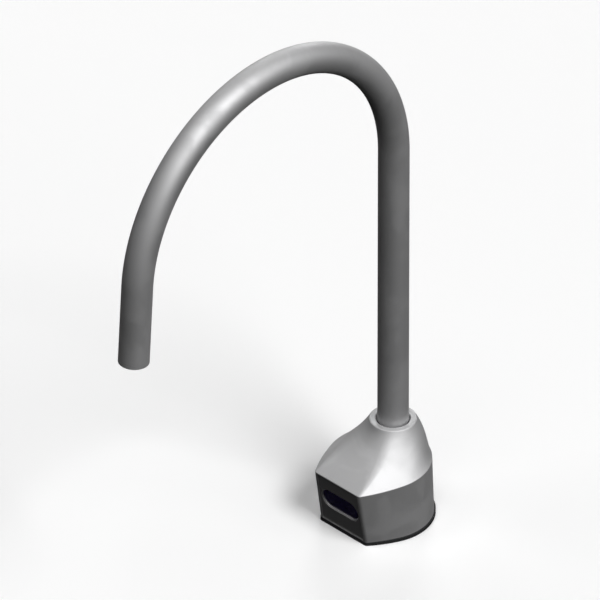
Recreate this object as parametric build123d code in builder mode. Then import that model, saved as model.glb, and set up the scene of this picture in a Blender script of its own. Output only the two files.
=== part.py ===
from build123d import *
import math
import os

# Sensor faucet in millimetres. The origin is where the spout's swivel axis meets the deck,
# +Z is up, and the sensor face and the spout point to the front, towards -Y.

# Clearances
plate_gap = 0.3
slip_gap = 0.1
running_gap = 0.06
seal_gap = 0.03

# Deck gasket
gasket_thickness = 2.2
gasket_overhang = 1.0
gasket_front_overhang = 0.4

# Housing outline at the foot, seen from above: a rear arc, two bowed sides that leave it at the
# side angle, measured from straight ahead, and a straight front. The half width and the front
# meet at the corner before it is rounded.
foot_radius = 32.5
foot_centre = 10.8
foot_front = 42.3
foot_half_width = 19.3
foot_side_angle = 66.0
front_corner_radius = 2.5

# Housing outline at the shoulder, which rises a little towards the rear
shoulder_height = 38.6
shoulder_slope = 2.3
shoulder_radius = 32.2
shoulder_centre = 12.0
shoulder_front = 48.1
shoulder_half_width = 18.7
shoulder_side_angle = 74.0

# Two sections that the cone passes through on its way from the shoulder to the collar. Each of
# the three stands a rise above the one below it.
waist_rise = 7.0
waist_radius = 26.6
waist_centre = 7.1
waist_front = 34.9
waist_half_width = 17.4
waist_side_angle = 72.0
waist_corner_radius = 5.0
waist_bulge = 0.85
neck_rise = 9.0
neck_radius = 19.8
neck_centre = 1.5
neck_front = 20.4
neck_half_width = 12.6
neck_side_angle = 83.0
neck_corner_radius = 8.0
neck_bulge = 1.7

# Collar round the spout. Its circle is divided at three angles, measured from straight ahead,
# where the front, the corners, the sides and the rear of the cone arrive.
collar_rise = 9.4
collar_radius = 14.3
collar_edge = 1.0
collar_front_angle = 30.0
collar_corner_angle = 48.0
collar_side_angle = 105.0
collar_mouth = 0.4

# Housing casting. Its cavity's walls end below the shoulder, and a dome stands on them.
wall = 3.0
front_wall = 5.6
ceiling_drop = 4.5
dome_rise = 7.5
dome_radius = 17.0
dome_front = 29.0
dome_half_width = 11.0
casting_edge = 0.5

# Gooseneck tube
tube_radius = 9.525
tube_wall = 1.24
riser_top = 260.4
bend_radius = 107.95
bend_angle = 176.5
drop_length = 49.8

# Spout seat in the collar
seat_depth = 21.6
washer_thickness = 1.0
washer_radius = 9.6
ferrule_flange = 6.0
ferrule_spigot = 10.0
bearing_wall = 0.9
bearing_recess = 0.9
bearing_lift = 2.0

# Stop screw at the rear, whose point runs in a groove in the ferrule
swing_limit = 60.0
stop_gap = 0.3
stop_point_radius = 1.4
stop_thread_radius = 2.5
stop_thread_length = 8.0
stop_socket_radius = 1.25
stop_socket_depth = 2.5
stop_groove_depth = 1.5

# Waterway
body_radius = 12.0
body_boss_wall = 3.2
body_boss_depth = 15.0
body_flange_radius = 14.4
body_flange_thickness = 3.0
body_flange_flat = 13.2
shank_thread_radius = 9.5
shank_thread_length = 15.2
deck_relief = 0.2
shank_seal_radius = 9.0
shank_seal_thickness = 1.8
waterway_radius = 4.8
nose_radius = 7.5
nose_length = 15.0
nose_chamfer = 0.8
nose_floor_gap = 1.0
ring_height = 1.9
ring_thickness = 1.45
ring_groove_height = 2.4
ring_inset = 4.0
ring_pitch = 5.4

# Bottom plate and its screws
plate_thickness = 3.0
screw_radius = 1.5
screw_head_radius = 2.8
screw_head_height = 1.6
screw_length = 9.0
screw_socket_radius = 0.95
screw_socket_depth = 1.2
screw_inset = 3.6
screw_hole_spare = 1.0
screw_post_radius = 3.9
screw_post_height = 12.0
rear_screw_angle = 135.0
front_screw_angle = 70.0
hexagon = 6

# Cable grommet
grommet_depth = 18.6
grommet_bore = 2.0
grommet_radius = 3.2
grommet_flange_radius = 4.4
grommet_flange_thickness = 1.1

# Sensor face
panel_side_rim = 2.0
panel_end_rim = 0.9
panel_corner = 0.8
panel_recess = 0.2
panel_thickness = 2.6
window_rise = 1.5
window_width = 30.0
window_height = 13.0
window_recess = 1.1
window_bevel = 0.6
window_flange = 1.1
window_flange_thickness = 1.5
seal_thickness = 0.8
seal_band = 1.6

# Sensor unit behind the window
case_width = 27.0
case_height = 13.4
case_depth = 13.5
case_corner = 3.0
case_wall = 1.3
case_flange_thickness = 1.5
board_thickness = 1.2
board_depth = 8.0
board_ledge = 1.2
lamp_pitch = 8.5
lamp_radius = 2.5
lamp_height = 5.8
status_radius = 1.5
status_height = 3.8
lamp_lip = 0.4
lamp_foot = 1.0

# Clamp and screws that hold the sensor unit and the panel
clamp_thickness = 1.2
clamp_width = 9.0
clamp_reach = 9.0
clamp_bend = 1.8
foot_width = 27.0
boss_pitch = 20.0
boss_drop = 13.0
boss_radius = 2.6
clamp_screw_radius = 1.3
clamp_screw_head_radius = 2.5
clamp_screw_head_height = 1.6
clamp_screw_length = 4.8

# Outlet at the spout's tip
outlet_rim = 2.0
outlet_line = 0.15
outlet_edge = 0.5
outlet_spigot = 12.0
outlet_wall = 1.3
outlet_lip = 0.5
outlet_lip_height = 1.0
outlet_seal_inset = 3.5
outlet_seal_height = 1.8
outlet_seal_depth = 0.8
screen_thickness = 0.5
screen_hole_radius = 0.5
screen_pitch = 1.5
screen_rows = 7
former_height = 5.0
former_hole_radius = 0.75
former_pitch = 2.2
former_rows = 5
regulator_height = 2.6
regulator_hole_radius = 0.55
regulator_hole_ring = 4.6
regulator_holes = 8

# Heights that follow from the sizes above
waist_height = shoulder_height + waist_rise
neck_height = waist_height + neck_rise
collar_height = neck_height + collar_rise
ceiling_height = shoulder_height - ceiling_drop
dome_height = ceiling_height + dome_rise
plate_bottom = gasket_thickness
plate_top = plate_bottom + plate_thickness
shank_seal_bottom = deck_relief + shank_thread_length
shank_seal_top = shank_seal_bottom + shank_seal_thickness
seat_height = collar_height - seat_depth
nose_bottom = seat_height - nose_length
upper_ring_height = seat_height - ring_inset
lower_ring_height = upper_ring_height - ring_pitch
flange_bottom = seat_height + washer_thickness + slip_gap
tube_bottom = flange_bottom + ferrule_flange
stop_height = flange_bottom + ferrule_flange / 2
bearing_bottom = tube_bottom + bearing_lift
bearing_length = collar_height - bearing_recess - bearing_bottom

# Radii that follow from the sizes above
tube_bore = tube_radius - tube_wall
bearing_radius = tube_radius + running_gap + bearing_wall
collar_bore = bearing_radius + seal_gap
seat_bore = (collar_bore + tube_radius) / 2
socket_radius = nose_radius + running_gap
ring_radius = socket_radius - seal_gap
ring_groove_radius = ring_radius - ring_thickness - seal_gap
stop_groove_radius = tube_radius - stop_groove_depth
shell_radius = tube_bore - slip_gap
shell_bore = shell_radius - outlet_wall
insert_radius = shell_bore - slip_gap


def on_arc(radius, centre, angle):
    """Point on the rear arc at an angle from straight ahead, on the +X side."""
    turn = math.radians(angle)
    return (radius * math.sin(turn), -centre - radius * math.cos(turn))


def mirrored(point):
    return (-point[0], point[1])


def plan_wire(plane, radius, centre, front, half_width, side_angle, corner_radius=0, bulge=0):
    """Housing outline: a rear arc, sides tangent to it, and a straight or bowed front.

    A corner radius rounds both front corners. Every rounded outline has the same six edges,
    so that a loft joins corner to corner.
    """
    side = on_arc(radius, centre, side_angle)
    corner = (half_width, -front)
    turn = math.radians(side_angle)
    leaving = (-math.cos(turn), -math.sin(turn))
    rear_edge = Edge.make_three_point_arc(side, (0, radius - centre), mirrored(side))
    left_edge = Edge.make_tangent_arc(mirrored(side), mirrored(leaving), mirrored(corner))
    right_edge = Edge.make_tangent_arc(side, leaving, corner)
    if bulge:
        nose = (0, -front - bulge)
        front_edge = Edge.make_three_point_arc(mirrored(corner), nose, corner)
    else:
        front_edge = Edge.make_line(mirrored(corner), corner)
    outline = Wire([rear_edge, left_edge, front_edge, right_edge])
    if corner_radius:
        front_vertices = outline.vertices().sort_by(Axis.Y)[:2]
        outline = Face(outline).fillet_2d(corner_radius, front_vertices).outer_wire()
    return plane * outline


def foot_wire(plane, corner_radius):
    return plan_wire(
        plane,
        foot_radius,
        foot_centre,
        foot_front,
        foot_half_width,
        foot_side_angle,
        corner_radius,
    )


def shoulder_wire(plane, corner_radius):
    return plan_wire(
        plane,
        shoulder_radius,
        shoulder_centre,
        shoulder_front,
        shoulder_half_width,
        shoulder_side_angle,
        corner_radius,
    )


def foot_outline():
    make_face(foot_wire(Plane.XY, 0).edges())


def shoulder_outline():
    make_face(shoulder_wire(Plane.XY, 0).edges())


# The shoulder's plane turns about the shoulder's front edge
slope = math.radians(shoulder_slope)
shoulder_plane = Plane(
    origin=(
        0,
        shoulder_front * (math.cos(slope) - 1),
        shoulder_height + shoulder_front * math.sin(slope),
    ),
    x_dir=(1, 0, 0),
    z_dir=(0, -math.sin(slope), math.cos(slope)),
)

# The sensor face leans forward. Its plane has X as the faucet has and Y up the slope,
# and its normal points out at the hand.
face_rise = shoulder_height - gasket_thickness
face_run = shoulder_front - foot_front
face_length = math.hypot(face_rise, face_run)
face_lean = math.atan2(face_run, face_rise)
face_plane = Plane(
    origin=(0, -(foot_front + shoulder_front) / 2, (gasket_thickness + shoulder_height) / 2),
    x_dir=(1, 0, 0),
    z_dir=(0, -math.cos(face_lean), -math.sin(face_lean)),
)


def panel_outline(gap):
    """Draw the panel's place on the sensor face, drawn in by the gap."""
    half_length = face_length / 2 - panel_end_rim - gap
    lower = foot_half_width - panel_side_rim - gap
    upper = shoulder_half_width - panel_side_rim - gap
    with BuildLine() as outline:
        FilletPolyline(
            (-lower, -half_length),
            (lower, -half_length),
            (upper, half_length),
            (-upper, half_length),
            radius=panel_corner,
            close=True,
        )
    make_face(outline.edges())


def window_outline(margin, mode=Mode.ADD):
    """Draw the window's stadium, grown by the margin."""
    with Locations((0, window_rise)):
        SlotOverall(window_width + 2 * margin, window_height + 2 * margin, mode=mode)


def case_outline(inset, mode=Mode.ADD):
    """Draw the sensor case's rounded section, drawn in by the inset."""
    with Locations((0, window_rise)):
        RectangleRounded(
            case_width - 2 * inset, case_height - 2 * inset, case_corner - inset, mode=mode
        )


# Depths behind the sensor face, layer by layer
panel_back = panel_recess + panel_thickness
window_back = panel_back + window_flange_thickness
seal_back = window_back + seal_thickness
case_flange_back = seal_back + case_flange_thickness
board_front = seal_back + board_depth
board_back = board_front + board_thickness
case_back = seal_back + case_depth
clamp_seat = front_wall
boss_height = window_rise - boss_drop
boss_places = [(-boss_pitch / 2, boss_height), (boss_pitch / 2, boss_height)]
ledge_bottom = window_rise - window_height / 2 - window_flange - slip_gap

# Where the bottom plate's screws go: on the rear arc, two at the rear and two beside the sensor
post_radius = foot_radius - wall - screw_inset
rear_post = on_arc(post_radius, foot_centre, rear_screw_angle)
front_post = on_arc(post_radius, foot_centre, front_screw_angle)
screw_places = [rear_post, mirrored(rear_post), front_post, mirrored(front_post)]

# Cavity of the housing, open at the foot
with BuildPart() as cavity:
    with BuildSketch(Plane.XY.offset(plate_bottom)):
        foot_outline()
        offset(amount=-wall, kind=Kind.INTERSECTION)
    with BuildSketch(Plane.XY.offset(ceiling_height)):
        shoulder_outline()
        offset(amount=-wall, kind=Kind.INTERSECTION)
    loft(ruled=True)
    with BuildSketch(Plane.XY.offset(ceiling_height)):
        shoulder_outline()
        offset(amount=-wall, kind=Kind.INTERSECTION)
    with BuildSketch(Plane.XY.offset(dome_height)):
        dome_wire = plan_wire(
            Plane.XY,
            dome_radius,
            shoulder_centre,
            dome_front,
            dome_half_width,
            shoulder_side_angle,
        )
        make_face(dome_wire.edges())
    loft(ruled=True)
    split(bisect_by=face_plane.offset(-front_wall), keep=Keep.BOTTOM)
    with BuildSketch(Plane.XY.offset(plate_top)):
        with Locations(screw_places):
            Circle(screw_post_radius)
    extrude(amount=screw_post_height, mode=Mode.SUBTRACT)
    with BuildSketch(Plane.XY.offset(seat_height - body_boss_depth)):
        Circle(body_radius + slip_gap + body_boss_wall)
    extrude(amount=body_boss_depth, mode=Mode.SUBTRACT)

# Sections that the cone passes through, from the shoulder up to the collar's circle
waist_wire = plan_wire(
    Plane.XY.offset(waist_height),
    waist_radius,
    waist_centre,
    waist_front,
    waist_half_width,
    waist_side_angle,
    waist_corner_radius,
    waist_bulge,
)
neck_wire = plan_wire(
    Plane.XY.offset(neck_height),
    neck_radius,
    neck_centre,
    neck_front,
    neck_half_width,
    neck_side_angle,
    neck_corner_radius,
    neck_bulge,
)


def collar_arc(start, end):
    """Arc of the collar's circle between two angles from straight ahead."""
    points = [on_arc(collar_radius, 0, angle) for angle in (start, (start + end) / 2, end)]
    return Plane.XY.offset(collar_height) * Edge.make_three_point_arc(*points)


collar_stops = [
    collar_side_angle - 360,
    -collar_side_angle,
    -collar_corner_angle,
    -collar_front_angle,
    collar_front_angle,
    collar_corner_angle,
    collar_side_angle,
]
collar_wire = Wire([collar_arc(*stops) for stops in zip(collar_stops, collar_stops[1:])])


def on_shoulder(edge):
    """Tell whether an edge lies in the shoulder's plane."""
    return all(abs(shoulder_plane.to_local_coords(edge @ t).Z) < seal_gap for t in (0, 0.5, 1))


# Housing: a cast shell with a collar for the spout
with BuildPart() as housing:
    lower_wire = foot_wire(Plane.XY.offset(gasket_thickness), front_corner_radius)
    upper_wire = shoulder_wire(shoulder_plane, front_corner_radius)
    add(Solid.make_loft([lower_wire, upper_wire]))
    add(Solid.make_loft([upper_wire, waist_wire, neck_wire, collar_wire]))
    fillet(housing.edges().group_by(Axis.Z)[-1], collar_edge)
    fillet(housing.edges().filter_by(on_shoulder), casting_edge)
    add(cavity.part, mode=Mode.SUBTRACT)

    # Bores on the swivel axis, from the waterway's boss up to the collar's mouth
    with BuildSketch(Plane.XY.offset(seat_height - body_boss_depth)):
        Circle(body_radius + slip_gap)
    extrude(amount=body_boss_depth, mode=Mode.SUBTRACT)
    with BuildSketch(Plane.XY.offset(seat_height)):
        Circle(seat_bore)
    extrude(until=Until.LAST, mode=Mode.SUBTRACT)
    with BuildSketch(Plane.XY.offset(bearing_bottom)):
        Circle(collar_bore)
    extrude(until=Until.LAST, mode=Mode.SUBTRACT)
    rim_circles = housing.edges().filter_by(GeomType.CIRCLE).group_by(Axis.Z)[-1]
    chamfer(rim_circles.sort_by(SortBy.RADIUS)[0], collar_mouth)

    # Pocket for the panel, and the ledge's openings for the sensor unit and the panel's bosses
    with BuildSketch(face_plane):
        panel_outline(0)
    extrude(amount=-panel_back, mode=Mode.SUBTRACT)
    with BuildSketch(face_plane):
        window_outline(window_flange + slip_gap)
        with Locations(boss_places):
            Circle(boss_radius + slip_gap)
    extrude(amount=-front_wall - slip_gap, mode=Mode.SUBTRACT)

    # Tapped holes for the bottom plate's screws and for the stop screw
    with BuildSketch(Plane.XY.offset(plate_top)):
        with Locations(screw_places):
            Circle(screw_radius)
    extrude(amount=screw_length - plate_thickness + screw_hole_spare, mode=Mode.SUBTRACT)
    with BuildSketch(Plane.XZ.offset(-seat_bore + stop_gap)):
        with Locations((0, stop_height)):
            Circle(stop_thread_radius)
    extrude(amount=-foot_radius, mode=Mode.SUBTRACT)
housing.part.label = "housing"
export_step(housing.part, "parts/housing.step")

# Deck gasket, which stands out at the rear and runs nearly flush at the front corners, with
# holes for the shank and for the cable grommet
with BuildPart() as base_gasket:
    with BuildSketch():
        gasket_wire = plan_wire(
            Plane.XY,
            foot_radius + gasket_overhang,
            foot_centre,
            foot_front + gasket_front_overhang,
            foot_half_width,
            foot_side_angle,
            front_corner_radius,
        )
        make_face(gasket_wire.edges())
        Circle(body_radius + slip_gap, mode=Mode.SUBTRACT)
        with Locations((0, -grommet_depth)):
            Circle(grommet_flange_radius + slip_gap, mode=Mode.SUBTRACT)
    extrude(amount=gasket_thickness)
base_gasket.part.label = "base_gasket"
export_step(base_gasket.part, "parts/base_gasket.step")


def flat_head_screw(gap, mode):
    """Countersunk screw standing on its head, or its hole where the gap is larger."""
    stand = (Align.CENTER, Align.CENTER, Align.MIN)
    Cone(
        screw_head_radius + gap,
        screw_radius + gap,
        screw_head_height,
        align=stand,
        mode=mode,
    )
    Cylinder(screw_radius + gap, screw_length, align=stand, mode=mode)


# Bottom plate that closes the housing and carries the waterway
with BuildPart() as base_plate:
    with BuildSketch(Plane.XY.offset(plate_bottom)):
        foot_outline()
        offset(amount=-wall - plate_gap, kind=Kind.INTERSECTION)
        Circle(body_radius + slip_gap, mode=Mode.SUBTRACT)
        with Locations((0, -grommet_depth)):
            Circle(grommet_radius + slip_gap, mode=Mode.SUBTRACT)
    extrude(amount=plate_thickness)
    split(bisect_by=face_plane.offset(-front_wall - slip_gap), keep=Keep.BOTTOM)
    with Locations([(x, y, plate_bottom) for x, y in screw_places]):
        flat_head_screw(slip_gap, Mode.SUBTRACT)
base_plate.part.label = "base_plate"
export_step(base_plate.part, "parts/base_plate.step")

with BuildPart() as base_plate_screws:
    with Locations([(x, y, plate_bottom) for x, y in screw_places]):
        flat_head_screw(-seal_gap, Mode.ADD)
    with BuildSketch(Plane.XY.offset(plate_bottom)):
        with Locations(screw_places):
            RegularPolygon(screw_socket_radius, hexagon)
    extrude(amount=screw_socket_depth, mode=Mode.SUBTRACT)
base_plate_screws.part.label = "base_plate_screws"
export_step(base_plate_screws.part, "parts/base_plate_screws.step")

# Waterway: shank thread below, spout socket above, flange captured over the bottom plate
with BuildPart() as waterway_body:
    with BuildSketch(Plane.XZ):
        with BuildLine():
            Polyline(
                (waterway_radius, shank_seal_top),
                (shank_seal_radius, shank_seal_top),
                (shank_seal_radius, shank_seal_bottom),
                (shank_thread_radius, shank_seal_bottom),
                (shank_thread_radius, deck_relief),
                (body_radius, deck_relief),
                (body_radius, plate_top),
                (body_flange_radius, plate_top),
                (body_flange_radius, plate_top + body_flange_thickness),
                (body_radius, plate_top + body_flange_thickness),
                (body_radius, seat_height),
                (socket_radius + nose_chamfer, seat_height),
                (socket_radius, seat_height - nose_chamfer),
                (socket_radius, nose_bottom - nose_floor_gap),
                (waterway_radius, nose_bottom - nose_floor_gap),
                close=True,
            )
        make_face()
    revolve(axis=Axis.Z)
    with BuildSketch(Plane.XY.offset(plate_top)):
        with Locations((0, -body_flange_flat)):
            Rectangle(
                2 * body_flange_radius, body_flange_radius, align=(Align.CENTER, Align.MAX)
            )
    extrude(amount=body_flange_thickness, mode=Mode.SUBTRACT)
waterway_body.part.label = "waterway_body"
export_step(waterway_body.part, "parts/waterway_body.step")

with BuildPart() as inlet_seal:
    with BuildSketch(Plane.XY.offset(shank_seal_bottom)):
        Circle(shank_seal_radius - seal_gap)
        Circle(waterway_radius + slip_gap, mode=Mode.SUBTRACT)
    extrude(amount=shank_seal_thickness)
inlet_seal.part.label = "inlet_seal"
export_step(inlet_seal.part, "parts/inlet_seal.step")

# Gooseneck: a straight riser, one bend and a straight drop that leans forward a little
with BuildLine(Plane.YZ) as spout_path:
    Line((0, tube_bottom), (0, riser_top))
    bend = CenterArc((-bend_radius, riser_top), bend_radius, 0, bend_angle)
    Line(bend @ 1, (bend @ 1) + (bend % 1) * drop_length)
spout_wire = spout_path.wire()
tip_plane = Plane(origin=spout_wire @ 1, x_dir=(1, 0, 0), z_dir=spout_wire % 1)

with BuildPart() as spout_tube:
    with BuildSketch(Plane.XY.offset(tube_bottom)):
        Circle(tube_radius)
        Circle(tube_bore, mode=Mode.SUBTRACT)
    sweep(path=spout_wire)
spout_tube.part.label = "spout_tube"
export_step(spout_tube.part, "parts/spout_tube.step")

# Ferrule in the tube's lower end: a spigot, the flange with the stop groove, and the sealed nose
with BuildPart() as spout_ferrule:
    with BuildSketch(Plane.XZ):
        with BuildLine():
            Polyline(
                (waterway_radius, nose_bottom),
                (nose_radius - nose_chamfer, nose_bottom),
                (nose_radius, nose_bottom + nose_chamfer),
                (nose_radius, flange_bottom),
                (tube_radius, flange_bottom),
                (tube_radius, tube_bottom),
                (tube_bore - seal_gap, tube_bottom),
                (tube_bore - seal_gap, tube_bottom + ferrule_spigot),
                (waterway_radius + nose_chamfer, tube_bottom + ferrule_spigot),
                (waterway_radius, tube_bottom + ferrule_spigot - nose_chamfer),
                close=True,
            )
        make_face()
        with Locations(
            (ring_groove_radius, upper_ring_height), (ring_groove_radius, lower_ring_height)
        ):
            Rectangle(
                nose_radius,
                ring_groove_height,
                align=(Align.MIN, Align.CENTER),
                mode=Mode.SUBTRACT,
            )
    revolve(axis=Axis.Z)
    stop_reach = math.asin(stop_point_radius / stop_groove_radius)
    groove_half_angle = swing_limit + math.degrees(stop_reach + stop_gap / tube_radius)
    groove_height = 2 * (stop_point_radius + stop_gap)
    with BuildSketch(Plane.YZ.rotated((0, 0, -groove_half_angle))):
        with Locations((stop_groove_radius, stop_height)):
            Rectangle(nose_radius, groove_height, align=(Align.MIN, Align.CENTER))
    revolve(axis=Axis.Z, revolution_arc=2 * groove_half_angle, mode=Mode.SUBTRACT)
spout_ferrule.part.label = "spout_ferrule"
export_step(spout_ferrule.part, "parts/spout_ferrule.step")

# O-rings on the nose, squeezed a little flat
for ring_name, height in (("upper_o_ring", upper_ring_height), ("lower_o_ring", lower_ring_height)):
    with BuildPart() as o_ring:
        with BuildSketch(Plane.XZ):
            with Locations((ring_radius - ring_thickness / 2, height)):
                Ellipse(ring_thickness / 2, ring_height / 2)
        revolve(axis=Axis.Z)
    o_ring.part.label = ring_name
    export_step(o_ring.part, f"parts/{ring_name}.step")

with BuildPart() as thrust_washer:
    with BuildSketch(Plane.XY.offset(seat_height)):
        Circle(washer_radius)
        Circle(socket_radius + nose_chamfer, mode=Mode.SUBTRACT)
    extrude(amount=washer_thickness)
thrust_washer.part.label = "thrust_washer"
export_step(thrust_washer.part, "parts/thrust_washer.step")

with BuildPart() as spout_bearing:
    with BuildSketch(Plane.XY.offset(bearing_bottom)):
        Circle(bearing_radius)
        Circle(tube_radius + running_gap, mode=Mode.SUBTRACT)
    extrude(amount=bearing_length)
spout_bearing.part.label = "spout_bearing"
export_step(spout_bearing.part, "parts/spout_bearing.step")

# Stop screw: a dog point in the ferrule's groove and a threaded shank in the housing's rear
with BuildPart() as stop_screw:
    with BuildSketch(Plane.XZ.offset(-stop_groove_radius - stop_gap)):
        with Locations((0, stop_height)):
            Circle(stop_point_radius)
    extrude(amount=-(seat_bore - stop_groove_radius))
    with BuildSketch(Plane.XZ.offset(-seat_bore - stop_gap)):
        with Locations((0, stop_height)):
            Circle(stop_thread_radius - seal_gap)
    extrude(amount=-stop_thread_length)
    with BuildSketch(Plane.XZ.offset(-seat_bore - stop_gap - stop_thread_length)):
        with Locations((0, stop_height)):
            RegularPolygon(stop_socket_radius, hexagon)
    extrude(amount=stop_socket_depth, mode=Mode.SUBTRACT)
stop_screw.part.label = "stop_screw"
export_step(stop_screw.part, "parts/stop_screw.step")

# Cable grommet in the bottom plate
grommet_bottom = plate_bottom - grommet_flange_thickness
with BuildPart() as cable_grommet:
    with BuildSketch(Plane((0, -grommet_depth, grommet_bottom))):
        Circle(grommet_flange_radius)
    extrude(amount=grommet_flange_thickness)
    with BuildSketch(Plane((0, -grommet_depth, plate_bottom))):
        Circle(grommet_radius)
    extrude(amount=plate_thickness)
    with BuildSketch(Plane((0, -grommet_depth, plate_top))):
        Circle(grommet_flange_radius)
    extrude(amount=grommet_flange_thickness)
    with BuildSketch(Plane((0, -grommet_depth, grommet_bottom))):
        Circle(grommet_bore)
    extrude(until=Until.LAST, mode=Mode.SUBTRACT)
cable_grommet.part.label = "cable_grommet"
export_step(cable_grommet.part, "parts/cable_grommet.step")

# Sensor panel: a plate flush in the face, with the window's opening and two screw bosses
with BuildPart() as sensor_panel:
    with BuildSketch(face_plane.offset(-panel_back)):
        panel_outline(slip_gap)
    extrude(amount=panel_thickness)
    with BuildSketch(face_plane.offset(-panel_back)):
        with Locations(boss_places):
            Circle(boss_radius)
    extrude(amount=-(front_wall - panel_back - slip_gap))
    with BuildSketch(face_plane.offset(-front_wall)):
        with Locations(boss_places):
            Circle(clamp_screw_radius)
    extrude(amount=clamp_screw_length, mode=Mode.SUBTRACT)
    with BuildSketch(face_plane):
        window_outline(0)
    extrude(amount=-front_wall, mode=Mode.SUBTRACT)
    front_face = sensor_panel.faces().sort_by(Axis(face_plane.origin, face_plane.z_dir))[-1]
    chamfer(front_face.inner_wires()[0].edges(), window_bevel)
sensor_panel.part.label = "sensor_panel"
export_step(sensor_panel.part, "parts/sensor_panel.step")

with BuildPart() as sensor_window:
    with BuildSketch(face_plane.offset(-window_back)):
        window_outline(window_flange)
    extrude(amount=window_flange_thickness)
    with BuildSketch(face_plane.offset(-panel_back)):
        window_outline(-slip_gap)
    extrude(amount=panel_thickness - window_recess)
sensor_window.part.label = "sensor_window"
export_step(sensor_window.part, "parts/sensor_window.step")

with BuildPart() as sensor_seal:
    with BuildSketch(face_plane.offset(-seal_back)):
        window_outline(window_flange)
        window_outline(window_flange - seal_band, mode=Mode.SUBTRACT)
    extrude(amount=seal_thickness)
sensor_seal.part.label = "sensor_seal"
export_step(sensor_seal.part, "parts/sensor_seal.step")

# Sensor case: a cup open to the window, with a flange at its mouth and a ledge for the board
with BuildPart() as sensor_case:
    with BuildSketch(face_plane.offset(-seal_back)):
        case_outline(0)
    extrude(amount=-case_depth)
    with BuildSketch(face_plane.offset(-seal_back)):
        window_outline(window_flange)
    extrude(amount=-case_flange_thickness)
    with BuildSketch(face_plane.offset(-seal_back)):
        case_outline(case_wall)
    extrude(amount=-(board_depth + board_thickness), mode=Mode.SUBTRACT)
    with BuildSketch(face_plane.offset(-board_back)):
        case_outline(case_wall + board_ledge)
    extrude(amount=-(case_back - board_back - case_wall), mode=Mode.SUBTRACT)
sensor_case.part.label = "sensor_case"
export_step(sensor_case.part, "parts/sensor_case.step")

with BuildPart() as sensor_board:
    with BuildSketch(face_plane.offset(-board_back)):
        case_outline(case_wall + slip_gap)
    extrude(amount=board_thickness)
sensor_board.part.label = "sensor_board"
export_step(sensor_board.part, "parts/sensor_board.step")


def domed_lamp(radius, height):
    """Moulded lamp with a flanged foot and a domed end, standing on the board."""
    stand = (Align.CENTER, Align.CENTER, Align.MIN)
    Cylinder(radius + lamp_lip, lamp_foot, align=stand)
    Cylinder(radius, height - radius, align=stand)
    with Locations((0, 0, height - radius)):
        Sphere(radius)


with BuildPart(face_plane.offset(-board_front)) as ir_emitter:
    with Locations((-lamp_pitch, window_rise)):
        domed_lamp(lamp_radius, lamp_height)
ir_emitter.part.label = "ir_emitter"
export_step(ir_emitter.part, "parts/ir_emitter.step")

with BuildPart(face_plane.offset(-board_front)) as ir_receiver:
    with Locations((lamp_pitch, window_rise)):
        domed_lamp(lamp_radius, lamp_height)
ir_receiver.part.label = "ir_receiver"
export_step(ir_receiver.part, "parts/ir_receiver.step")

with BuildPart(face_plane.offset(-board_front)) as status_led:
    with Locations((0, window_rise)):
        domed_lamp(status_radius, status_height)
status_led.part.label = "status_led"
export_step(status_led.part, "parts/status_led.step")

# Clamp: a bent strip behind the case, with a wide foot screwed to the panel's bosses
side_plane = Plane(origin=face_plane.origin, x_dir=face_plane.y_dir, z_dir=(1, 0, 0))
strip_back = -(case_back + clamp_thickness / 2)
strip_seat = -(clamp_seat + clamp_thickness / 2)
strip_leg = ledge_bottom - stop_gap - clamp_thickness / 2
with BuildPart() as sensor_clamp:
    with BuildSketch(side_plane):
        with BuildLine():
            FilletPolyline(
                (strip_leg + clamp_reach, strip_back),
                (strip_leg, strip_back),
                (strip_leg, strip_seat),
                (boss_height - clamp_screw_head_radius, strip_seat),
                radius=clamp_bend,
            )
        trace(line_width=clamp_thickness)
    extrude(amount=clamp_width / 2, both=True)
    with BuildSketch(face_plane.offset(-clamp_seat)):
        with Locations((0, boss_height)):
            SlotOverall(foot_width, 2 * (clamp_screw_head_radius + slip_gap))
    extrude(amount=-clamp_thickness)
    with BuildSketch(face_plane.offset(-clamp_seat)):
        with Locations(boss_places):
            Circle(clamp_screw_radius + slip_gap)
    extrude(amount=-clamp_thickness, mode=Mode.SUBTRACT)
sensor_clamp.part.label = "sensor_clamp"
export_step(sensor_clamp.part, "parts/sensor_clamp.step")

with BuildPart() as sensor_screws:
    with BuildSketch(face_plane.offset(-clamp_seat - clamp_thickness)):
        with Locations(boss_places):
            Circle(clamp_screw_head_radius)
    extrude(amount=-clamp_screw_head_height)
    with BuildSketch(face_plane.offset(-clamp_seat - clamp_thickness)):
        with Locations(boss_places):
            Circle(clamp_screw_radius - seal_gap)
    extrude(amount=clamp_screw_length)
    with BuildSketch(face_plane.offset(-clamp_seat - clamp_thickness - clamp_screw_head_height)):
        with Locations(boss_places):
            RegularPolygon(screw_socket_radius, hexagon)
    extrude(amount=screw_socket_depth, mode=Mode.SUBTRACT)
sensor_screws.part.label = "sensor_screws"
export_step(sensor_screws.part, "parts/sensor_screws.step")

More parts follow.
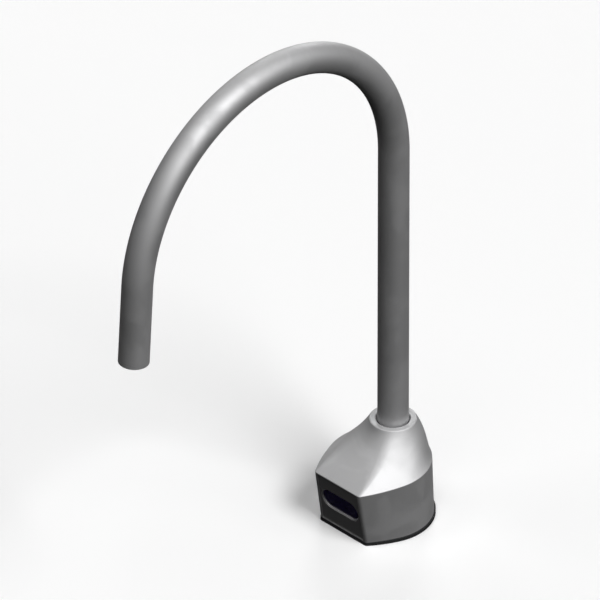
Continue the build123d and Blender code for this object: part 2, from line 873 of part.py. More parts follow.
# Outlet shell pressed into the tip, with a rim below the tube's end and a lip for the screen
rim_end = outlet_line + outlet_rim
screen_seat = rim_end - outlet_lip_height
seal_place = outlet_seal_inset - outlet_spigot
with BuildPart() as outlet_shell:
    with BuildSketch(tip_plane.offset(-outlet_spigot)):
        Circle(shell_radius)
    extrude(amount=outlet_spigot + outlet_line)
    with BuildSketch(tip_plane.offset(outlet_line)):
        Circle(tube_radius)
    extrude(amount=outlet_rim)
    rim_edges = outlet_shell.edges().sort_by(Axis(tip_plane.origin, tip_plane.z_dir))
    fillet(rim_edges[-1], outlet_edge)
    with BuildSketch(tip_plane.offset(-outlet_spigot)):
        Circle(shell_bore)
    extrude(amount=outlet_spigot + screen_seat, mode=Mode.SUBTRACT)
    with BuildSketch(tip_plane.offset(screen_seat)):
        Circle(shell_bore - outlet_lip)
    extrude(amount=outlet_lip_height, mode=Mode.SUBTRACT)
    with BuildSketch(tip_plane.offset(seal_place)):
        Circle(shell_radius)
        Circle(shell_radius - outlet_seal_depth, mode=Mode.SUBTRACT)
    extrude(amount=outlet_seal_height, mode=Mode.SUBTRACT)
outlet_shell.part.label = "outlet_shell"
export_step(outlet_shell.part, "parts/outlet_shell.step")

with BuildPart() as outlet_seal:
    with BuildSketch(tip_plane.offset(seal_place + seal_gap)):
        Circle(tube_bore - seal_gap)
        Circle(shell_radius - outlet_seal_depth + seal_gap, mode=Mode.SUBTRACT)
    extrude(amount=outlet_seal_height - 2 * seal_gap)
outlet_seal.part.label = "outlet_seal"
export_step(outlet_seal.part, "parts/outlet_seal.step")

# Inserts in the shell: screen at the mouth, then the stream former and the flow regulator
with BuildPart() as outlet_screen:
    with BuildSketch(tip_plane.offset(screen_seat - screen_thickness)):
        Circle(insert_radius)
        with HexLocations(screen_pitch / 2, screen_rows, screen_rows):
            Circle(screen_hole_radius, mode=Mode.SUBTRACT)
    extrude(amount=screen_thickness)
outlet_screen.part.label = "outlet_screen"
export_step(outlet_screen.part, "parts/outlet_screen.step")

former_end = screen_seat - screen_thickness
with BuildPart() as stream_former:
    with BuildSketch(tip_plane.offset(former_end - former_height)):
        Circle(insert_radius)
        with HexLocations(former_pitch / 2, former_rows, former_rows):
            Circle(former_hole_radius, mode=Mode.SUBTRACT)
    extrude(amount=former_height)
stream_former.part.label = "stream_former"
export_step(stream_former.part, "parts/stream_former.step")

regulator_end = former_end - former_height
with BuildPart() as flow_regulator:
    with BuildSketch(tip_plane.offset(regulator_end - regulator_height)):
        Circle(insert_radius)
        with PolarLocations(regulator_hole_ring, regulator_holes):
            Circle(regulator_hole_radius, mode=Mode.SUBTRACT)
    extrude(amount=regulator_height)
flow_regulator.part.label = "flow_regulator"
export_step(flow_regulator.part, "parts/flow_regulator.step")
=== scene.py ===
"""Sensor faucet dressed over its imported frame: finishes, small parts, studio and camera."""
import math

import bpy
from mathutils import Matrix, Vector


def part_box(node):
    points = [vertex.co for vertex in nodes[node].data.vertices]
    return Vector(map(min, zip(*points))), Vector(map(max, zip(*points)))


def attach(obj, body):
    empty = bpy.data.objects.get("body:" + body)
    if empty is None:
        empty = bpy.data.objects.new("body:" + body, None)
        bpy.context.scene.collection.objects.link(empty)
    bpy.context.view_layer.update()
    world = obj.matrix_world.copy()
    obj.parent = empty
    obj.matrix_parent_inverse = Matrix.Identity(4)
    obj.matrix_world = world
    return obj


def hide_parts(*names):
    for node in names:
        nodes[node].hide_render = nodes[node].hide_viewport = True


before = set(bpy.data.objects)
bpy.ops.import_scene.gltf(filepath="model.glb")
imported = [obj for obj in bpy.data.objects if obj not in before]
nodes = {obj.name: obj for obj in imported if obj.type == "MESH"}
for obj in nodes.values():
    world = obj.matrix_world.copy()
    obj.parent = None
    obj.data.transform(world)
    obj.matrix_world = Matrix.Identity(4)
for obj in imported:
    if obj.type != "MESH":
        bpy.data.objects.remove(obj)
bpy.context.view_layer.update()

# Sizes of the gooseneck, in metres, as the frame has them
TUBE_RADIUS = 0.009525
TUBE_WALL = 0.00124
RISER_TOP = 0.2604
BEND_RADIUS = 0.10795
BEND_ANGLE = math.radians(176.5)
DROP_LENGTH = 0.0498

# The outlet screen stands square to the drop, a little past the tube's end
SCREEN_RADIUS = 0.006785
SCREEN_OVERHANG = 0.0009
SCREEN_DROP = DROP_LENGTH + SCREEN_OVERHANG
SCREEN_CENTRE = (
    0.0,
    -BEND_RADIUS * (1 - math.cos(BEND_ANGLE)) - SCREEN_DROP * math.sin(BEND_ANGLE),
    RISER_TOP + BEND_RADIUS * math.sin(BEND_ANGLE) + SCREEN_DROP * math.cos(BEND_ANGLE),
)

# Where the noise turns into a wiped patch or a scratch, and which way the scratches run
PATCH_EDGE = (0.42, 0.62)
SCRATCH_EDGE = (0.70, 0.76)
SCRATCH_TURN = (0.4, 0.7, 0.2)
SCRATCH_STRETCH = (0.01, 1.0, 1.0)

# How far the grain, the tool rings and the wear change the roughness and shade of a metal
GRAIN_ROUGHENING = 0.12
RING_ROUGHENING = 0.08
WIPED_SHADE = 0.95
TARNISHED_SHADE = 0.88

# How much paler the pebbles of a moulding are than the skin between them
PEBBLE_SHADE = 1.15
PEBBLE_LIFT = 0.002


# Shader helpers
def group_socket(group, name, kind, way, default=None):
    """Add a named socket to a node group's interface."""
    socket = group.interface.new_socket(name=name, in_out=way, socket_type=kind)
    if default is not None:
        socket.default_value = default


def new_group(name, inputs, outputs):
    """Make a shader node group and return it with its input and output nodes."""
    group = bpy.data.node_groups.new(name, "ShaderNodeTree")
    for socket_name, kind, default in inputs:
        group_socket(group, socket_name, kind, "INPUT", default)
    for socket_name, kind in outputs:
        group_socket(group, socket_name, kind, "OUTPUT")
    return group, group.nodes.new("NodeGroupInput"), group.nodes.new("NodeGroupOutput")


def add_node(tree, kind, values=None, **settings):
    """Add a node, set its attributes, and set or link its input sockets."""
    node = tree.nodes.new(kind)
    for key, value in settings.items():
        setattr(node, key, value)
    for key, value in (values or {}).items():
        if isinstance(value, bpy.types.NodeSocket):
            tree.links.new(value, node.inputs[key])
        else:
            node.inputs[key].default_value = value
    return node


def math_node(tree, operation, first, second=0.0, clamp=False):
    """Output of a Math node on two values or sockets."""
    values = {0: first, 1: second}
    return add_node(tree, "ShaderNodeMath", values, operation=operation, use_clamp=clamp).outputs[0]


def scaled_vector(tree, vector, factors):
    """Vector with each axis multiplied by its own factor."""
    values = {0: vector, 1: factors}
    return add_node(tree, "ShaderNodeVectorMath", values, operation="MULTIPLY").outputs[0]


def vector_length(tree, vector):
    """Length of a vector."""
    return add_node(tree, "ShaderNodeVectorMath", {0: vector}, operation="LENGTH").outputs["Value"]


def flat_distance(tree, across, rise):
    """Distance from the origin of a flat place."""
    place = add_node(tree, "ShaderNodeCombineXYZ", {0: across, 1: rise}).outputs[0]
    return vector_length(tree, place)


def remap(tree, value, low, high, new_low, new_high):
    """Smoothly remap a value from one range to another."""
    values = {"Value": value, 1: low, 2: high, 3: new_low, 4: new_high}
    return add_node(
        tree, "ShaderNodeMapRange", values, interpolation_type="SMOOTHSTEP"
    ).outputs["Result"]


# Effects that several materials share
def make_satin_grain():
    """Fine drawn grain: streaks along one axis over a blasted speckle."""
    group, source, sink = new_group(
        "satin_grain",
        [
            ("Vector", "NodeSocketVector", None),
            ("Grain", "NodeSocketFloat", 5200.0),
            ("Streak", "NodeSocketVector", (1.0, 1.0, 0.06)),
            ("Speckle", "NodeSocketFloat", 0.4),
        ],
        [("Height", "NodeSocketFloat"), ("Shift", "NodeSocketFloat")],
    )
    drawn = scaled_vector(group, source.outputs["Vector"], source.outputs["Streak"])
    streaks = add_node(
        group,
        "ShaderNodeTexNoise",
        {"Vector": drawn, "Scale": source.outputs["Grain"], "Detail": 3.0, "Roughness": 0.6},
    ).outputs[0]
    speckle = add_node(
        group,
        "ShaderNodeTexNoise",
        {"Vector": source.outputs["Vector"], "Scale": source.outputs["Grain"], "Detail": 2.0},
    ).outputs[0]
    mixed = add_node(
        group, "ShaderNodeMix", {0: source.outputs["Speckle"], 2: streaks, 3: speckle}
    ).outputs[0]
    group.links.new(mixed, sink.inputs["Height"])
    group.links.new(math_node(group, "SUBTRACT", mixed, 0.5), sink.inputs["Shift"])
    return group


def make_handling_marks():
    """Soft wiped patches and a few hairline scratches."""
    group, source, sink = new_group(
        "handling_marks",
        [
            ("Vector", "NodeSocketVector", None),
            ("Patch Scale", "NodeSocketFloat", 38.0),
            ("Scratch Scale", "NodeSocketFloat", 3600.0),
        ],
        [("Patches", "NodeSocketFloat"), ("Scratches", "NodeSocketFloat")],
    )
    patches = add_node(
        group,
        "ShaderNodeTexNoise",
        {
            "Vector": source.outputs["Vector"],
            "Scale": source.outputs["Patch Scale"],
            "Detail": 5.0,
            "Distortion": 0.8,
        },
    ).outputs[0]
    group.links.new(remap(group, patches, *PATCH_EDGE, 0.0, 1.0), sink.inputs["Patches"])
    slanted = add_node(
        group,
        "ShaderNodeMapping",
        {
            "Vector": source.outputs["Vector"],
            "Rotation": SCRATCH_TURN,
            "Scale": SCRATCH_STRETCH,
        },
    ).outputs[0]
    hairs = add_node(
        group,
        "ShaderNodeTexNoise",
        {"Vector": slanted, "Scale": source.outputs["Scratch Scale"], "Detail": 1.0},
    ).outputs[0]
    group.links.new(remap(group, hairs, *SCRATCH_EDGE, 0.0, 1.0), sink.inputs["Scratches"])
    return group


def make_moulded_skin():
    """Fine pebbled skin of a moulding tool, with a slow change of gloss."""
    group, source, sink = new_group(
        "moulded_skin",
        [("Vector", "NodeSocketVector", None), ("Pebble", "NodeSocketFloat", 2600.0)],
        [("Height", "NodeSocketFloat"), ("Gloss", "NodeSocketFloat")],
    )
    pebbles = add_node(
        group,
        "ShaderNodeTexVoronoi",
        {"Vector": source.outputs["Vector"], "Scale": source.outputs["Pebble"]},
        feature="SMOOTH_F1",
    ).outputs["Distance"]
    slow = add_node(
        group,
        "ShaderNodeTexNoise",
        {"Vector": source.outputs["Vector"], "Scale": 90.0, "Detail": 3.0},
    ).outputs[0]
    group.links.new(pebbles, sink.inputs["Height"])
    group.links.new(math_node(group, "SUBTRACT", slow, 0.5), sink.inputs["Gloss"])
    return group


def make_turned_rings():
    """Rings that a lathe tool leaves round the swivel axis."""
    group, source, sink = new_group(
        "turned_rings",
        [("Vector", "NodeSocketVector", None), ("Pitch", "NodeSocketFloat", 0.00035)],
        [("Height", "NodeSocketFloat")],
    )
    parts = add_node(group, "ShaderNodeSeparateXYZ", {0: source.outputs["Vector"]})
    radius = flat_distance(group, parts.outputs[0], parts.outputs[1])
    travel = math_node(group, "ADD", radius, parts.outputs[2])
    turns = math_node(group, "DIVIDE", travel, source.outputs["Pitch"])
    wave = math_node(group, "SINE", math_node(group, "MULTIPLY", turns, math.tau))
    group.links.new(math_node(group, "MULTIPLY_ADD", wave, 0.5), sink.inputs["Height"])
    return group


def make_pipe_thread():
    """Threads cut in a bore on the swivel axis, up to a height and within a radius."""
    group, source, sink = new_group(
        "pipe_thread",
        [
            ("Vector", "NodeSocketVector", None),
            ("Pitch", "NodeSocketFloat", 0.001814),
            ("Bore", "NodeSocketFloat", 0.0099),
            ("Top", "NodeSocketFloat", 0.0153),
        ],
        [("Height", "NodeSocketFloat")],
    )
    parts = add_node(group, "ShaderNodeSeparateXYZ", {0: source.outputs["Vector"]})
    radius = flat_distance(group, parts.outputs[0], parts.outputs[1])
    angle = math_node(group, "ARCTAN2", parts.outputs[1], parts.outputs[0])
    turns = math_node(group, "DIVIDE", angle, math.tau)
    climbed = math_node(group, "DIVIDE", parts.outputs[2], source.outputs["Pitch"])
    phase = math_node(group, "SUBTRACT", climbed, turns)
    ridge = math_node(group, "PINGPONG", phase, 0.5)
    inside = math_node(group, "LESS_THAN", radius, source.outputs["Bore"])
    below = math_node(group, "LESS_THAN", parts.outputs[2], source.outputs["Top"])
    cut = math_node(group, "MULTIPLY", inside, below)
    group.links.new(math_node(group, "MULTIPLY", ridge, cut), sink.inputs["Height"])
    return group


def make_window_marks():
    """Bevel round the sensor window, and the rims of the two lamps behind it."""
    group, source, sink = new_group(
        "window_marks",
        [
            ("Vector", "NodeSocketVector", None),
            ("Middle", "NodeSocketVector", (0.0, -0.04544, 0.02188)),
            ("Slope", "NodeSocketVector", (0.0, -0.1573, 0.9876)),
            ("Spread", "NodeSocketFloat", 0.0085),
            ("Ring Radius", "NodeSocketFloat", 0.0027),
            ("Ring Width", "NodeSocketFloat", 0.0006),
            ("Window Radius", "NodeSocketFloat", 0.00645),
            ("Bevel Radius", "NodeSocketFloat", 0.00715),
        ],
        [("Rings", "NodeSocketFloat"), ("Bevel", "NodeSocketFloat")],
    )
    values = {0: source.outputs["Vector"], 1: source.outputs["Middle"]}
    offset = add_node(group, "ShaderNodeVectorMath", values, operation="SUBTRACT").outputs[0]
    values = {0: offset, 1: source.outputs["Slope"]}
    rise = add_node(
        group, "ShaderNodeVectorMath", values, operation="DOT_PRODUCT"
    ).outputs["Value"]
    across = add_node(group, "ShaderNodeSeparateXYZ", {0: offset}).outputs[0]
    aside = math_node(
        group, "SUBTRACT", math_node(group, "ABSOLUTE", across), source.outputs["Spread"]
    )
    from_lamp = flat_distance(group, aside, rise)
    gap = math_node(group, "SUBTRACT", from_lamp, source.outputs["Ring Radius"])
    ring = remap(
        group, math_node(group, "ABSOLUTE", gap), 0.0, source.outputs["Ring Width"], 1.0, 0.0
    )
    group.links.new(ring, sink.inputs["Rings"])
    from_line = flat_distance(group, math_node(group, "MAXIMUM", aside, 0.0), rise)
    outside = math_node(group, "GREATER_THAN", from_line, source.outputs["Window Radius"])
    inside = math_node(group, "LESS_THAN", from_line, source.outputs["Bevel Radius"])
    group.links.new(math_node(group, "MULTIPLY", outside, inside), sink.inputs["Bevel"])
    return group


SATIN_GRAIN = make_satin_grain()
HANDLING_MARKS = make_handling_marks()
MOULDED_SKIN = make_moulded_skin()
TURNED_RINGS = make_turned_rings()
PIPE_THREAD = make_pipe_thread()
WINDOW_MARKS = make_window_marks()


class Finish:
    """A material with a Principled shader and object coordinates ready to use."""

    def __init__(self, name, colour, roughness, metallic=0.0):
        self.material = bpy.data.materials.new(name)
        self.material.use_nodes = True
        self.tree = self.material.node_tree
        self.tree.nodes.clear()
        self.shader = add_node(self.tree, "ShaderNodeBsdfPrincipled")
        add_node(self.tree, "ShaderNodeOutputMaterial", {0: self.shader.outputs[0]})
        self.coords = add_node(self.tree, "ShaderNodeTexCoord").outputs["Object"]
        self.colour = colour
        self.roughness = roughness
        self.set("Base Color", (*colour, 1.0))
        self.set("Roughness", roughness)
        self.set("Metallic", metallic)

    def set(self, socket, value):
        """Set or link one of the shader's inputs."""
        if isinstance(value, bpy.types.NodeSocket):
            self.tree.links.new(value, self.shader.inputs[socket])
        else:
            self.shader.inputs[socket].default_value = value

    def group(self, tree, **values):
        """Place a shared effect on this material's object coordinates."""
        node = self.tree.nodes.new("ShaderNodeGroup")
        node.node_tree = tree
        self.tree.links.new(self.coords, node.inputs["Vector"])
        for name, value in values.items():
            node.inputs[name.replace("_", " ")].default_value = value
        return node.outputs

    def roughen(self, *terms):
        """Roughness is the base value plus each (socket, factor) term."""
        total = self.roughness
        for socket, factor in terms:
            part = math_node(self.tree, "MULTIPLY", socket, factor)
            total = math_node(self.tree, "ADD", part, total, clamp=True)
        self.set("Roughness", total)

    def tint(self, mask, other):
        """Blend the base colour towards another one where the mask is set."""
        mix = add_node(self.tree, "ShaderNodeMix", {0: mask}, data_type="RGBA")
        mix.inputs[6].default_value = (*self.colour, 1.0)
        mix.inputs[7].default_value = (*other, 1.0)
        self.set("Base Color", mix.outputs[2])

    def bump(self, height, distance):
        """Raise the surface by a height socket, over a distance in metres."""
        values = {"Height": height, "Distance": distance, "Strength": 1.0}
        self.set("Normal", add_node(self.tree, "ShaderNodeBump", values).outputs[0])


def shaded(colour, factor, lift=0.0):
    """Colour with each part scaled, and raised a little."""
    return tuple(factor * part + lift for part in colour)


def metal_finish(name, colour, roughness, streak, grain_height, marks=0.06):
    """Satin metal: drawn grain, wiped patches and hairline scratches."""
    finish = Finish(name, colour, roughness, metallic=1.0)
    grain = finish.group(SATIN_GRAIN, Streak=streak)
    wear = finish.group(HANDLING_MARKS)
    finish.roughen(
        (grain["Shift"], GRAIN_ROUGHENING), (wear["Patches"], marks), (wear["Scratches"], -marks)
    )
    finish.tint(wear["Patches"], shaded(colour, WIPED_SHADE))
    finish.bump(grain["Height"], grain_height)
    return finish.material


def moulded_finish(name, colour, roughness, pebble_height, pebble=2600.0, gloss=0.1):
    """Moulded plastic or rubber with a pebbled skin."""
    finish = Finish(name, colour, roughness)
    skin = finish.group(MOULDED_SKIN, Pebble=pebble)
    finish.roughen((skin["Gloss"], gloss))
    finish.tint(skin["Height"], shaded(colour, PEBBLE_SHADE, PEBBLE_LIFT))
    finish.bump(skin["Height"], pebble_height)
    return finish.material


def turned_finish(name, colour, roughness, ring_height, thread_depth=0.0):
    """Machined metal with tool rings round the swivel axis, and a thread in its bore."""
    finish = Finish(name, colour, roughness, metallic=1.0)
    rings = finish.group(TURNED_RINGS)["Height"]
    wear = finish.group(HANDLING_MARKS)
    finish.roughen((rings, RING_ROUGHENING), (wear["Patches"], RING_ROUGHENING))
    finish.tint(wear["Patches"], shaded(colour, TARNISHED_SHADE))
    relief = math_node(finish.tree, "MULTIPLY", rings, ring_height)
    if thread_depth:
        # The thread's height runs from 0 to a half, so its depth counts twice
        thread = finish.group(PIPE_THREAD)["Height"]
        threads = math_node(finish.tree, "MULTIPLY", thread, 2 * thread_depth)
        relief = math_node(finish.tree, "ADD", relief, threads)
    finish.bump(relief, 1.0)
    return finish.material


def filter_finish(name, colour, ring_colour, roughness, pebble_height, gloss):
    """Polished dark filter, behind which the rims of two lamps show faintly."""
    finish = Finish(name, colour, roughness)
    skin = finish.group(MOULDED_SKIN)
    finish.roughen((skin["Gloss"], gloss))
    finish.tint(finish.group(WINDOW_MARKS)["Rings"], ring_colour)
    finish.bump(skin["Height"], pebble_height)
    return finish.material


def painted_light_plate_finish(name, colour, bevel_highlight_colour, roughness, streak, grain_height, polish):
    """Drawn satin plate whose bevel round the window is polished, and painted paler as a painted
    highlight; the plate colour it is given is painted shade.
    """
    finish = Finish(name, colour, roughness, metallic=1.0)
    grain = finish.group(SATIN_GRAIN, Streak=streak)
    bevel = finish.group(WINDOW_MARKS)["Bevel"]
    finish.roughen((grain["Shift"], GRAIN_ROUGHENING), (bevel, -polish))
    # Painted highlight: the bevel is tinted paler than the plate
    finish.tint(bevel, bevel_highlight_colour)
    finish.bump(grain["Height"], grain_height)
    return finish.material


SATIN_CHROME_COLOUR = (0.70, 0.70, 0.705)
SATIN_TUBE = metal_finish(
    "satin_tube", SATIN_CHROME_COLOUR, 0.66, streak=(1.0, 1.0, 0.05), grain_height=4e-6
)
SATIN_CASTING = metal_finish(
    "satin_casting", SATIN_CHROME_COLOUR, 0.66, streak=(1.0, 1.0, 1.0), grain_height=5e-6
)
# The sensor plate is the housing's satin chrome painted darker, as painted shade on the face, and
# its window bevel is painted paler, as a painted highlight
PLATE_WITH_PAINTED_SHADE_AND_HIGHLIGHT = painted_light_plate_finish(
    "satin_plate_painted_shade_and_highlight",
    (0.52, 0.52, 0.525),
    (0.93, 0.93, 0.935),
    0.64,
    streak=(0.06, 1.0, 1.0),
    grain_height=4e-6,
    polish=0.12,
)
STAINLESS = metal_finish(
    "stainless", (0.56, 0.56, 0.57), 0.38, streak=(1.0, 0.06, 1.0), grain_height=4e-6
)
BRASS_COLOUR = (0.78, 0.58, 0.28)
BRASS = turned_finish("turned_brass", BRASS_COLOUR, 0.32, ring_height=6e-6)
THREADED_BRASS = turned_finish(
    "threaded_brass", BRASS_COLOUR, 0.32, ring_height=6e-6, thread_depth=4e-4
)
RUBBER = moulded_finish("gasket_rubber", (0.008, 0.008, 0.009), 0.78, pebble_height=2e-5)
BLACK_PLASTIC = moulded_finish(
    "black_moulding", (0.020, 0.019, 0.023), 0.42, pebble_height=8e-6, pebble=3800.0
)
WINDOW_PLASTIC = filter_finish(
    "infrared_filter",
    (0.003, 0.002, 0.010),
    (0.014, 0.012, 0.022),
    0.07,
    pebble_height=2e-7,
    gloss=0.05,
)
ACETAL = moulded_finish("natural_acetal", (0.80, 0.80, 0.77), 0.45, pebble_height=5e-6)
BOARD = moulded_finish("board_laminate", (0.02, 0.16, 0.06), 0.35, pebble_height=6e-6)
LAMP_LENS = moulded_finish(
    "lamp_lens", (0.03, 0.03, 0.06), 0.12, pebble_height=4e-7, gloss=0.05
)
STATUS_LENS = moulded_finish(
    "status_lens", (0.5, 0.03, 0.02), 0.15, pebble_height=4e-7, gloss=0.05
)

FINISHES = {
    "housing": SATIN_CASTING,
    "sensor_panel": PLATE_WITH_PAINTED_SHADE_AND_HIGHLIGHT,
    "spout_tube": SATIN_TUBE,
    "outlet_shell": SATIN_TUBE,
    "base_gasket": RUBBER,
    "inlet_seal": RUBBER,
    "cable_grommet": RUBBER,
    "sensor_seal": RUBBER,
    "upper_o_ring": RUBBER,
    "lower_o_ring": RUBBER,
    "outlet_seal": RUBBER,
    "base_plate": STAINLESS,
    "base_plate_screws": STAINLESS,
    "stop_screw": STAINLESS,
    "sensor_clamp": STAINLESS,
    "sensor_screws": STAINLESS,
    "outlet_screen": STAINLESS,
    "waterway_body": THREADED_BRASS,
    "spout_ferrule": BRASS,
    "thrust_washer": ACETAL,
    "stream_former": ACETAL,
    "flow_regulator": ACETAL,
    "spout_bearing": BLACK_PLASTIC,
    "sensor_case": BLACK_PLASTIC,
    "sensor_window": WINDOW_PLASTIC,
    "sensor_board": BOARD,
    "ir_emitter": LAMP_LENS,
    "ir_receiver": LAMP_LENS,
    "status_led": STATUS_LENS,
}
for name, material in FINISHES.items():
    nodes[name].data.materials.clear()
    nodes[name].data.materials.append(material)


# Geometry Nodes helpers
def geometry_tree(name, inputs):
    """Make a geometry node group with a mesh output and the named inputs."""
    tree = bpy.data.node_groups.new(name, "GeometryNodeTree")
    tree.interface.new_socket(name="Mesh", in_out="OUTPUT", socket_type="NodeSocketGeometry")
    for socket_name, kind, default in inputs:
        group_socket(tree, socket_name, kind, "INPUT", default)
    return tree, tree.nodes.new("NodeGroupInput"), tree.nodes.new("NodeGroupOutput")


def grown_mesh(name, tree, material):
    """Run a geometry tree on an empty mesh and keep the result as a plain mesh."""
    seed = bpy.data.objects.new(name + "_seed", bpy.data.meshes.new(name + "_seed"))
    bpy.context.scene.collection.objects.link(seed)
    modifier = seed.modifiers.new("Grow", "NODES")
    modifier.node_group = tree
    for item in tree.interface.items_tree:
        if item.item_type == "SOCKET" and item.in_out == "INPUT" and item.name == "Finish":
            modifier[item.identifier] = material
    graph = bpy.context.evaluated_depsgraph_get()
    mesh = bpy.data.meshes.new_from_object(seed.evaluated_get(graph), depsgraph=graph)
    bpy.data.objects.remove(seed)
    piece = bpy.data.objects.new(name, mesh)
    bpy.context.scene.collection.objects.link(piece)
    return piece


def make_gooseneck_tree():
    """Tube that rises straight, turns through one bend and drops straight."""
    tree, source, sink = geometry_tree(
        "gooseneck",
        [
            ("Foot Height", "NodeSocketFloat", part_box("spout_tube")[0].z),
            ("Riser Top", "NodeSocketFloat", RISER_TOP),
            ("Bend Radius", "NodeSocketFloat", BEND_RADIUS),
            ("Bend Angle", "NodeSocketFloat", BEND_ANGLE),
            ("Drop Length", "NodeSocketFloat", DROP_LENGTH),
            ("Tube Radius", "NodeSocketFloat", TUBE_RADIUS),
            ("Stations", "NodeSocketInt", 360),
            ("Sides", "NodeSocketInt", 96),
            ("Finish", "NodeSocketMaterial", None),
        ],
    )
    size = source.outputs
    riser = math_node(tree, "SUBTRACT", size["Riser Top"], size["Foot Height"])
    arc = math_node(tree, "MULTIPLY", size["Bend Radius"], size["Bend Angle"])
    to_drop = math_node(tree, "ADD", riser, arc)
    total = math_node(tree, "ADD", to_drop, size["Drop Length"])
    line = add_node(tree, "GeometryNodeCurvePrimitiveLine")
    rail = add_node(
        tree, "GeometryNodeResampleCurve", {0: line.outputs[0], "Count": size["Stations"]}
    )
    part = add_node(tree, "GeometryNodeSplineParameter").outputs["Factor"]
    travel = math_node(tree, "MULTIPLY", part, total)
    climbed = math_node(tree, "MINIMUM", travel, riser)
    bent = math_node(tree, "SUBTRACT", math_node(tree, "MINIMUM", travel, to_drop), climbed)
    dropped = math_node(tree, "MAXIMUM", math_node(tree, "SUBTRACT", travel, to_drop), 0.0)
    angle = math_node(tree, "DIVIDE", bent, size["Bend Radius"])
    cosine = math_node(tree, "COSINE", angle)
    sine = math_node(tree, "SINE", angle)
    share = math_node(tree, "SUBTRACT", 1.0, cosine)
    swing = math_node(tree, "MULTIPLY", size["Bend Radius"], share)
    rise = math_node(tree, "MULTIPLY", size["Bend Radius"], sine)
    ahead = math_node(tree, "ADD", swing, math_node(tree, "MULTIPLY", dropped, sine))
    up = math_node(
        tree,
        "ADD",
        math_node(tree, "ADD", climbed, rise),
        math_node(tree, "MULTIPLY", dropped, cosine),
    )
    height = math_node(tree, "ADD", up, size["Foot Height"])
    place = add_node(
        tree,
        "ShaderNodeCombineXYZ",
        {"Y": math_node(tree, "MULTIPLY", ahead, -1.0), "Z": height},
    )
    path = add_node(
        tree,
        "GeometryNodeSetPosition",
        {"Geometry": rail.outputs[0], "Position": place.outputs[0]},
    )
    ring = add_node(
        tree,
        "GeometryNodeCurvePrimitiveCircle",
        {"Resolution": size["Sides"], "Radius": size["Tube Radius"]},
    )
    skin = add_node(
        tree,
        "GeometryNodeCurveToMesh",
        {"Curve": path.outputs[0], "Profile Curve": ring.outputs[0]},
    )
    smooth = add_node(tree, "GeometryNodeSetShadeSmooth", {0: skin.outputs[0]})
    # Edges with one face lie round the cut ends, and stay sharp there
    sides = add_node(tree, "GeometryNodeInputMeshEdgeNeighbors").outputs[0]
    cut_ends = add_node(
        tree,
        "GeometryNodeSetShadeSmooth",
        {
            "Geometry": smooth.outputs[0],
            "Selection": math_node(tree, "LESS_THAN", sides, 1.5),
            "Shade Smooth": False,
        },
        domain="EDGE",
    )
    finished = add_node(
        tree, "GeometryNodeSetMaterial", {0: cut_ends.outputs[0], "Material": size["Finish"]}
    )
    real = add_node(tree, "GeometryNodeRealizeInstances", {0: finished.outputs[0]})
    tree.links.new(real.outputs[0], sink.inputs[0])
    return tree


gooseneck = grown_mesh("gooseneck", make_gooseneck_tree(), SATIN_TUBE)
wall = gooseneck.modifiers.new("Wall", "SOLIDIFY")
wall.thickness = TUBE_WALL
wall.offset = -1.0
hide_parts("spout_tube")
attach(gooseneck, "spout")


def swept(tree, path, radius, sides):
    """Round wire of a radius along a curve."""
    ring = add_node(
        tree, "GeometryNodeCurvePrimitiveCircle", {"Resolution": sides, "Radius": radius}
    )
    return add_node(
        tree, "GeometryNodeCurveToMesh", {"Curve": path, "Profile Curve": ring.outputs[0]}
    ).outputs[0]


